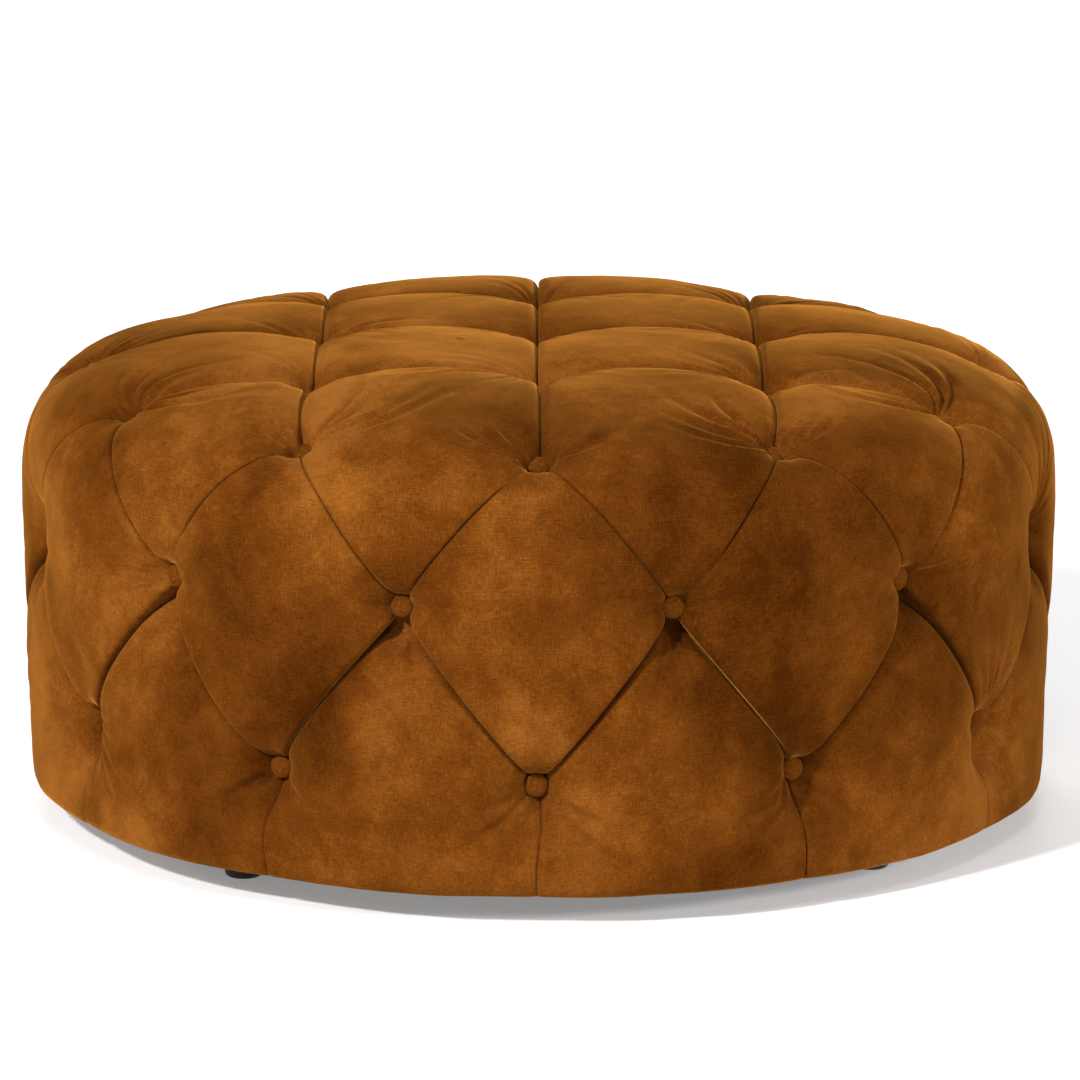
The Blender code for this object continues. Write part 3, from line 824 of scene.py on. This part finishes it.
class Nodes:
    """Short words for building one material's nodes. An input is a value or another node's output."""

    def __init__(self, name):
        self.material = bpy.data.materials.new(name)
        self.material.use_nodes = True
        self.tree = self.material.node_tree
        self.shader = self.tree.nodes["Principled BSDF"]

    def add(self, kind, inputs=None, **settings):
        node = self.tree.nodes.new(kind)
        for key, value in settings.items():
            setattr(node, key, value)
        for key, value in (inputs or {}).items():
            self.feed(node.inputs[key], value)
        return node

    def feed(self, socket, value):
        if hasattr(value, "is_output"):
            self.tree.links.new(value, socket)
        else:
            socket.default_value = value

    def noise(self, vector, scale, detail=3.0, roughness=0.55, distortion=0.0):
        node = self.add("ShaderNodeTexNoise", {"Vector": vector, "Scale": scale, "Detail": detail,
                                               "Roughness": roughness, "Distortion": distortion})
        return node.outputs["Fac"]

    def stretched(self, vector, scale):
        node = self.add("ShaderNodeMapping", {"Vector": vector, "Scale": scale})
        return node.outputs["Vector"]

    def maths(self, operation, one, other):
        node = self.add("ShaderNodeMath", operation=operation)
        for socket, value in zip(node.inputs, (one, other)):
            self.feed(socket, value)
        return node.outputs["Value"]

    def average(self, one, other):
        return self.maths("ADD", self.maths("MULTIPLY", one, 0.5), self.maths("MULTIPLY", other, 0.5))

    def remap(self, value, low, high, to_low, to_high):
        node = self.add("ShaderNodeMapRange", {"Value": value, "From Min": low, "From Max": high,
                                               "To Min": to_low, "To Max": to_high})
        return node.outputs["Result"]

    def mix(self, share, one, other):
        node = self.add("ShaderNodeMix", data_type="RGBA")
        for name, value in (("Factor", share), ("A", one), ("B", other)):
            self.feed(next(s for s in node.inputs if s.name == name and s.enabled), value)
        return next(s for s in node.outputs if s.enabled)

    def bump(self, height, strength, distance, normal=None):
        inputs = {"Height": height, "Strength": strength, "Distance": distance}
        if normal:
            inputs["Normal"] = normal
        return self.add("ShaderNodeBump", inputs).outputs["Normal"]

    def wire(self, **sockets):
        for name, value in sockets.items():
            self.feed(self.shader.inputs[name.replace("_", " ")], value)
        return self.material


VELVET_DEEP = (0.040, 0.0096, 0.0010, 1)
VELVET_MID = (0.104, 0.0290, 0.0034, 1)
VELVET_PALE = (0.225, 0.0750, 0.0115, 1)
SHEEN_TINT = (1.0, 0.42, 0.07, 1)


def velvet(name, from_uv=True):
    """Slubby velvet: a mottled pile, fine threads both ways and a warm sheen."""
    make = Nodes(name)
    if from_uv:
        cloth = make.add("ShaderNodeUVMap", uv_map="weave").outputs["UV"]
    else:
        cloth = make.add("ShaderNodeTexCoord").outputs["Object"]
    place = make.add("ShaderNodeTexCoord").outputs["Object"]
    across = make.noise(make.stretched(cloth, (130, 1300, 1300)), 1.0, 3.0)
    along = make.noise(make.stretched(cloth, (1300, 160, 1300)), 1.0, 3.0)
    threads = make.average(across, along)
    slub_across = make.noise(make.stretched(cloth, (50, 640, 640)), 1.0, 2.0)
    slub_along = make.noise(make.stretched(cloth, (640, 70, 640)), 1.0, 2.0)
    slubs = make.average(slub_across, slub_along)
    pile = make.noise(make.stretched(place, (1, 1, 0.7)), 7.0, 3.0, 0.50, 0.4)
    crush = make.noise(place, 38.0, 4.0, 0.6, 0.4)
    brushed = make.noise(place, 2.6, 2.0, 0.5, 0.6)
    tone = make.remap(pile, 0.3, 0.7, -0.34, 0.34)
    for layer, low, high, darkest, palest in (
        (crush, 0.3, 0.7, -0.13, 0.13),
        (brushed, 0.3, 0.7, 0.30, -0.30),
        (threads, 0.38, 0.62, 0.33, 0.67),
        (slubs, 0.36, 0.64, -0.10, 0.10),
    ):
        tone = make.maths("ADD", tone, make.remap(layer, low, high, darkest, palest))
    dark = make.mix(make.remap(tone, 0.0, 0.5, 0, 1), VELVET_DEEP, VELVET_MID)
    colour = make.mix(make.remap(tone, 0.5, 1.0, 0, 1), dark, VELVET_PALE)
    rough = make.remap(crush, 0.3, 0.7, 0.72, 0.92)
    normal = make.bump(make.maths("ADD", threads, make.maths("MULTIPLY", slubs, 0.8)), 0.25, 0.0005)
    normal = make.bump(crush, 0.25, 0.0020, normal)
    return make.wire(Base_Color=colour, Roughness=rough, Normal=normal, Sheen_Weight=0.38,
                     Sheen_Roughness=0.36, Sheen_Tint=SHEEN_TINT, Specular_IOR_Level=0.0)


def foot_plastic():
    """Near-black moulded plastic with a fine grain and faint scuffs."""
    make = Nodes("moulded_black_plastic")
    place = make.add("ShaderNodeTexCoord").outputs["Object"]
    grain = make.noise(place, 900.0, 2.0)
    scuff = make.noise(make.stretched(place, (60, 60, 400)), 1.0, 5.0, 0.7)
    colour = make.mix(make.remap(scuff, 0.55, 0.8, 0, 1), (0.006, 0.006, 0.0065, 1), (0.022, 0.021, 0.020, 1))
    rough = make.remap(scuff, 0.3, 0.7, 0.28, 0.46)
    return make.wire(Base_Color=colour, Roughness=rough, Normal=make.bump(grain, 0.2, 0.0002))


def lining_cloth():
    """Black spunbonded dust cover cloth, with its pressed pattern of small pits."""
    make = Nodes("black_lining")
    place = make.add("ShaderNodeTexCoord").outputs["Object"]
    pits = make.add("ShaderNodeTexVoronoi", {"Vector": place, "Scale": 450.0}).outputs["Distance"]
    fibre = make.noise(place, 1500.0, 3.0)
    colour = make.mix(fibre, (0.010, 0.010, 0.011, 1), (0.030, 0.030, 0.031, 1))
    return make.wire(Base_Color=colour, Roughness=0.92, Normal=make.bump(pits, 0.5, 0.0004))


def wood(name, pale, dark, rings=90.0, ply=False):
    """Plain timber or board, with grain along its longest way."""
    make = Nodes(name)
    place = make.add("ShaderNodeTexCoord").outputs["Object"]
    stretch = (3, rings, rings) if ply else (rings, rings, 3)
    grain = make.noise(make.stretched(place, stretch), 1.0, 4.0, 0.6, 0.5)
    colour = make.mix(make.remap(grain, 0.3, 0.7, 0, 1), dark, pale)
    return make.wire(Base_Color=colour, Roughness=make.remap(grain, 0.3, 0.7, 0.5, 0.75),
                     Normal=make.bump(grain, 0.3, 0.0005))


def foam_material():
    """Cream polyurethane foam with open cells."""
    make = Nodes("cream_foam")
    place = make.add("ShaderNodeTexCoord").outputs["Object"]
    cells = make.add("ShaderNodeTexVoronoi", {"Vector": place, "Scale": 700.0}).outputs["Distance"]
    age = make.noise(place, 8.0, 3.0)
    colour = make.mix(age, (0.80, 0.74, 0.52, 1), (0.88, 0.84, 0.68, 1))
    return make.wire(Base_Color=colour, Roughness=0.95, Normal=make.bump(cells, 0.6, 0.0006))


def floor_material():
    """Plain white studio sweep, lit a little from within as a light table is."""
    make = Nodes("pale_floor")
    place = make.add("ShaderNodeTexCoord").outputs["Object"]
    tone = make.noise(place, 0.8, 2.0)
    colour = make.mix(tone, (0.80, 0.80, 0.795, 1), (0.84, 0.84, 0.835, 1))
    return make.wire(Base_Color=colour, Roughness=0.85, Emission_Color=(1, 1, 1, 1), Emission_Strength=0.24)


# ---------------------------------------------------------------- the other pieces

def turned(profile, sides):
    """A closed turned shape about Z from (radius, z) pairs that start and end on the axis."""
    shape = bmesh.new()
    rings = []
    for radius, z in profile:
        count = sides if radius > 0 else 1
        rings.append([
            shape.verts.new((radius * cos(2 * pi * i / count), radius * sin(2 * pi * i / count), z))
            for i in range(count)
        ])
    for low, high in zip(rings, rings[1:]):
        for i in range(max(len(low), len(high))):
            j = i + 1
            corners = [low[i % len(low)], low[j % len(low)], high[j % len(high)], high[i % len(high)]]
            shape.faces.new(list(dict.fromkeys(corners)))
    bmesh.ops.remove_doubles(shape, verts=shape.verts, dist=1e-7)
    bmesh.ops.recalc_face_normals(shape, faces=shape.faces)
    return shape


def button_mesh():
    """A covered button: velvet drawn over a domed shell, gathered in small tucks round its back edge."""
    profile = [(0, 0.0004), (BUTTON_RADIUS * 0.55, 0.0002), (BUTTON_RADIUS * 0.80, 0.0003)]
    profile += [(BUTTON_RADIUS * 0.93, 0.0008), (BUTTON_RADIUS * 0.985, 0.0016), (BUTTON_RADIUS, 0.0026)]
    shoulder = 0.0026
    for i in range(1, 10):
        turn = i * pi / 20
        reach = BUTTON_RADIUS * cos(turn) ** 0.62
        profile.append((reach, shoulder + (BUTTON_HEIGHT - shoulder) * sin(turn)))
    profile.append((0, BUTTON_HEIGHT))
    shape = turned(profile, BUTTON_SIDES)
    for vertex in shape.verts:
        angle = np.arctan2(vertex.co.y, vertex.co.x)
        edge = float(smooth(BUTTON_HEIGHT * 0.55 - vertex.co.z, 0, BUTTON_HEIGHT * 0.4))
        tuck = 1 - 0.035 * edge * (0.5 + 0.5 * cos(17 * angle)) ** 2
        vertex.co.x *= tuck
        vertex.co.y *= tuck
        vertex.co.z += 0.00012 * noise.noise(vertex.co * 300) * (1 - edge)
    mesh = finished(shape, "covered_button")
    mesh.shade_smooth()
    return mesh


def build_buttons(look):
    """A covered button in the place of each CAD button, each turned and tipped a little its own way."""
    mesh = button_mesh()
    mesh.materials.append(look)
    numbers = {"lower": 0, "upper": 0, "rim": 0, "top": 0}
    made = []
    for n, kind in enumerate(TUFT_KINDS):
        numbers[kind] += 1
        node = cad_button(n, kind)
        low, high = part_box(node)
        pick = Random(300 + n)
        out = Vector(TUFT_OUT[n])
        tip = Vector([pick.uniform(-0.07, 0.07) for _ in range(3)])
        button = link(f"button_{kind}_{numbers[kind]:02d}_velvet", mesh)
        button.rotation_mode = "QUATERNION"
        facing = (out + tip).normalized().to_track_quat("Z", "Y")
        button.rotation_quaternion = facing @ Matrix.Rotation(pick.uniform(-pi, pi), 3, "Z").to_quaternion()
        button.location = (low + high) / 2 - out * (BUTTON_HEIGHT / 2 - BUTTON_LIFT)
        made.append((button, node))
    return made


def cad_button(n, kind):
    """The CAD node of the button at a tuft: the one of its row whose box lies nearest."""
    place = Vector(TUFT_PLACE[n])
    row = [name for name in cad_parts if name.startswith(f"button_{kind}_")]
    return min(row, key=lambda name: (sum(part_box(name), Vector()) / 2 - place).length)


def build_foot(node):
    """A low moulded glide: tapered, with a rounded tread, a fine parting ring and a stud at the top."""
    low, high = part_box(node)
    radius = (high.x - low.x) / 2
    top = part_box("dust_cover")[0].z - 0.0003
    tread = radius * 0.90
    edge = 0.0042
    profile = [(0, 0), (tread * 0.55, 0), (tread - edge, 0)]
    for i in range(1, 9):
        turn = i * pi / 16
        profile.append((tread - edge + edge * sin(turn), edge * (1 - cos(turn))))
    ring_z = top * 0.80
    at_ring = tread + (radius - tread) * 0.8
    profile += [(tread + 0.0004, 0.0075), (at_ring, ring_z), (at_ring - 0.0006, ring_z + 0.0004)]
    profile += [(at_ring - 0.0006, ring_z + 0.0012), (at_ring + 0.0001, ring_z + 0.0016)]
    profile += [(radius, top - 0.0012), (radius - 0.0003, top - 0.0004), (radius - 0.0012, top)]
    profile += [(0.0040, top), (0.0040, high.z - 0.0010), (0.0032, high.z), (0, high.z)]
    mesh = finished(turned(profile, FOOT_SIDES), f"{node}_glide")
    mesh.shade_smooth()
    mesh.set_sharp_from_angle(angle=radians(50))
    foot = link(f"{node}_glide", mesh)
    foot.location = ((low.x + high.x) / 2, (low.y + high.y) / 2, 0)
    return foot


def build_lining():
    """The dust cover: one thin cloth drawn tight under the base, with a hole for each foot's stud."""
    low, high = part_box("dust_cover")
    holes = [sum(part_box(f"foot_{number}"), Vector()) / 2 for number in range(1, 5)]
    rings = [(Vector(), high.x * (ring + 1) / LINING_RINGS, LINING_SIDES) for ring in range(LINING_RINGS)]
    rings += [(hole, STUD_HOLE_RADIUS, 16) for hole in holes]
    points, edges = [], []
    for middle, radius, sides in rings:
        first = len(points)
        for side in range(sides):
            turn = 2 * pi * side / sides
            points.append(Vector((middle.x + radius * cos(turn), middle.y + radius * sin(turn))))
            edges.append((first + side, first + (side + 1) % sides))
    flat, _, faces, *_ = delaunay_2d_cdt(points, edges, [], 0, 1e-6)
    shape = bmesh.new()
    for at in flat:
        ripple = noise.noise(Vector((at.x, at.y, 0)) * 14)
        shape.verts.new((at.x, at.y, (low.z + high.z) / 2 + LINING_RIPPLE * ripple))
    shape.verts.ensure_lookup_table()
    for face in faces:
        middle = sum((flat[v] for v in face), Vector((0, 0))) / len(face)
        if min((middle - hole.xy).length for hole in holes) > STUD_HOLE_RADIUS:
            shape.faces.new([shape.verts[v] for v in face])
    bmesh.ops.delete(shape, geom=[v for v in shape.verts if not v.link_faces], context="VERTS")
    mesh = finished(shape, "dust_cover_cloth")
    mesh.shade_smooth()
    return link("dust_cover_cloth", mesh)


# ---------------------------------------------------------------- camera, light and floor

def area_light(name, place, target, size, power):
    data = bpy.data.lights.new(name, "AREA")
    data.shape = "DISK"
    data.size = size
    data.energy = power
    lamp = bpy.data.objects.new(name, data)
    lamp.location = place
    lamp.rotation_euler = (Vector(target) - Vector(place)).to_track_quat("-Z", "Y").to_euler()
    bpy.context.scene.collection.objects.link(lamp)


def build_stage():
    mesh = bpy.data.meshes.new("floor")
    half = FLOOR_HALF_SIZE
    corners = [(-half, -half, 0), (half, -half, 0), (half, half, 0), (-half, half, 0)]
    mesh.from_pydata(corners, [], [(0, 1, 2, 3)])
    floor = link("floor", mesh)
    mesh.materials.append(floor_material())
    world = bpy.data.worlds.new("studio")
    world.use_nodes = True
    world.node_tree.nodes["Background"].inputs["Color"].default_value = (1, 1, 1, 1)
    world.node_tree.nodes["Background"].inputs["Strength"].default_value = WORLD_STRENGTH
    bpy.context.scene.world = world
    bpy.context.scene.view_settings.view_transform = "Standard"
    for name, place, size, power in LIGHTS:
        area_light(name, place, LIGHT_AIM, size, power)
    area_light("sweep", SWEEP_PLACE, SWEEP_AIM, SWEEP_SIZE, SWEEP_POWER)


def build_camera():
    data = bpy.data.cameras.new("camera")
    data.lens = LENS
    data.sensor_width = SENSOR
    camera = bpy.data.objects.new("camera", data)
    camera.location = CAMERA_PLACE
    aim = Vector(CAMERA_AIM) - camera.location
    roll = Matrix.Rotation(radians(CAMERA_ROLL), 3, "Z").to_quaternion()
    camera.rotation_mode = "QUATERNION"
    camera.rotation_quaternion = aim.to_track_quat("-Z", "Y") @ roll
    bpy.context.scene.collection.objects.link(camera)
    bpy.context.scene.camera = camera


# ---------------------------------------------------------------- put together

def dress(piece, look, slot, *nodes):
    """Gives a piece its material and its place in the frame, and hides the CAD nodes that it stands for."""
    if look.name not in [m.name for m in piece.data.materials if m]:
        piece.data.materials.append(look)
    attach(piece, "root")
    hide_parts(*nodes)


def paint(node, look):
    """A CAD node that keeps its shape gets a better material."""
    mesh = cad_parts[node].data
    mesh.materials.clear()
    mesh.materials.append(look)


def build():
    build_stage()
    build_camera()
    cover = build_cover()
    dress(cover, velvet("amber_velvet"), "velvet", "cover")
    button_velvet = velvet("amber_button_velvet", from_uv=False)
    for button, node in build_buttons(button_velvet):
        dress(button, button_velvet, "button_velvet", node)
    plastic = foot_plastic()
    for number in range(1, 5):
        node = f"foot_{number}"
        dress(build_foot(node), plastic, "foot_plastic", node)
    foam = foam_material()
    for piece, node in zip(build_foams(), ("side_foam", "top_foam")):
        dress(piece, foam, "foam", node)
    plywood = wood("birch_plywood", (0.66, 0.49, 0.30, 1), (0.52, 0.36, 0.20, 1), ply=True)
    for node in ("base_panel", "top_deck"):
        paint(node, plywood)
    paint("side_wall", wood("brown_fibreboard", (0.36, 0.25, 0.15, 1), (0.28, 0.19, 0.11, 1), 300))
    pine = wood("pine_block", (0.72, 0.55, 0.33, 1), (0.60, 0.42, 0.22, 1))
    for number in range(1, 5):
        paint(f"post_{number}", pine)
    lining = build_lining()
    dress(lining, lining_cloth(), "lining", "dust_cover")


build()
